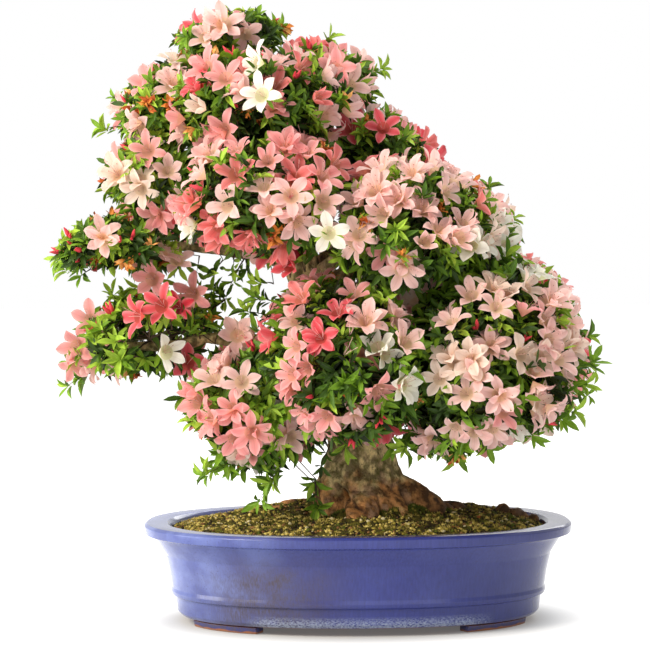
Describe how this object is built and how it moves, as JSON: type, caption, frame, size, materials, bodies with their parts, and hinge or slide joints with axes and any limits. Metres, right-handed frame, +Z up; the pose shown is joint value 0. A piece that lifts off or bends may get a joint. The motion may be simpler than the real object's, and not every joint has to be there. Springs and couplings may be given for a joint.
{
  "type": "azalea bonsai",
  "caption": "Flowering azalea bonsai with a leaning tapered trunk, tiered boughs and a dense crown of leaves and pink blossom, in a low glazed oval pot on feet.",
  "frame": {"origin": "middle of the whole plant's box, on the surface that the pot's feet stand on", "axes": "+Z up, -Y towards the viewer of the tree's front, +X to the viewer's right"},
  "size_m": [0.6845, 0.5263, 0.7482],
  "materials": {
    "pot_glaze": "glossy mottled blue glaze over stoneware",
    "soil": "rough granular soil with dry moss",
    "bark": "ridged azalea bark",
    "foliage": "satin green leaves and soft pink petals"
  },
  "bodies": {
    "root": {"pot": "pot_glaze", "pot_foot_front_left": "pot_glaze", "pot_foot_front_right": "pot_glaze", "pot_foot_back_left": "pot_glaze", "pot_foot_back_right": "pot_glaze", "soil": "soil", "trunk": "bark", "bough_upper_left": "bark", "bough_upper_right": "bark", "bough_upper_front": "bark", "bough_upper_back": "bark", "bough_shoulder_right": "bark", "bough_middle_left": "bark", "bough_left_shelf": "bark", "bough_middle_front_left": "bark", "bough_middle_back_left": "bark", "bough_middle_front_right": "bark", "bough_middle_back_right": "bark", "bough_middle_right": "bark", "bough_centre_front": "bark", "bough_centre_back": "bark", "bough_right_front": "bark", "bough_right_back": "bark", "bough_lower_right": "bark", "bough_lower_left_pad": "bark", "bough_lower_left": "bark", "bough_lower_back_left": "bark", "foliage_apex": "foliage", "foliage_upper_left": "foliage", "foliage_upper_right": "foliage", "foliage_upper_front": "foliage", "foliage_upper_back": "foliage", "foliage_shoulder_right": "foliage", "foliage_middle_left": "foliage", "foliage_left_shelf": "foliage", "foliage_middle_front_left": "foliage", "foliage_middle_back_left": "foliage", "foliage_middle_front_right": "foliage", "foliage_middle_back_right": "foliage", "foliage_middle_right": "foliage", "foliage_centre_front": "foliage", "foliage_centre_back": "foliage", "foliage_right_front": "foliage", "foliage_right_back": "foliage", "foliage_lower_right": "foliage", "foliage_lower_left_pad": "foliage", "foliage_lower_left": "foliage", "foliage_lower_back_left": "foliage"}
  },
  "joints": []
}
